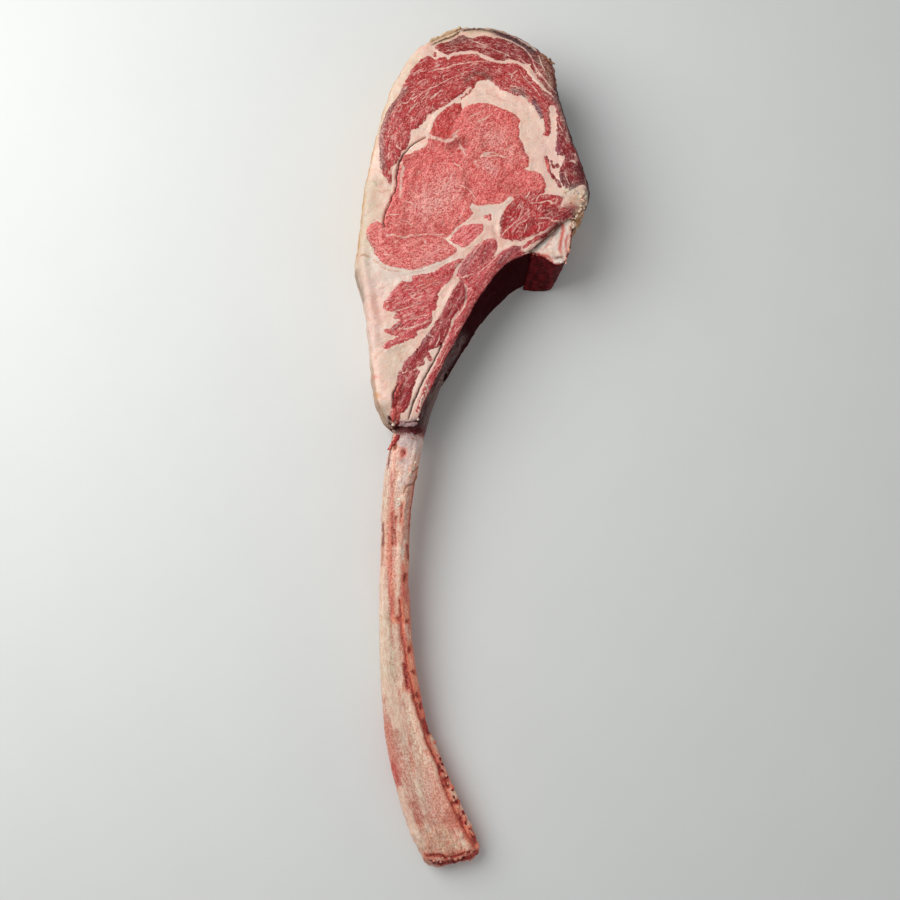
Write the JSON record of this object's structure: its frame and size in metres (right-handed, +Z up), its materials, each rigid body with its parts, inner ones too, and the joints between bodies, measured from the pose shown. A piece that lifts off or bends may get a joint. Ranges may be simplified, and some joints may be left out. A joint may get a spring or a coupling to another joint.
{
  "type": "raw tomahawk steak",
  "caption": "Thick raw beef rib steak with marbled lean, fat cap and chine on a long curved frenched rib, lying flat on a cut face.",
  "frame": {"origin": "centre of the footprint's bounding box, on the plane that the steak lies on", "axes": "+Y towards the head of the steak and the rib's free end at -Y, +Z up out of the upper cut face, +X towards the chine"},
  "size_m": [0.1556, 0.5462, 0.0528],
  "materials": {
    "fat": "cream to pale pink raw fat, waxy and slightly moist, yellow-grey and dry on the outer rim",
    "lean": "bright cherry-red raw beef with fine white marbling and grain, moist satin",
    "dark_lean": "deep red raw beef with coarse white veins, moist satin",
    "pale_lean": "purplish pink raw beef between the ribs, moist satin",
    "bone": "scraped raw bone, cream with red streaks and thin dried tissue, satin",
    "cut_bone": "sawn bone, pinkish white with red marrow edges, matt"
  },
  "bodies": {
    "root": {"fat_layer": "fat", "eye_muscle": "lean", "upper_oval_muscle": "lean", "lower_eye_muscle": "lean", "cap_muscle": "dark_lean", "top_muscle": "lean", "edge_muscle": "dark_lean", "inner_muscle": "dark_lean", "small_muscle": "lean", "flank_muscle": "lean", "rib_strip_muscle": "dark_lean", "intercostal_muscle": "pale_lean", "rib_bone": "bone", "chine_bone": "cut_bone"}
  },
  "joints": []
}
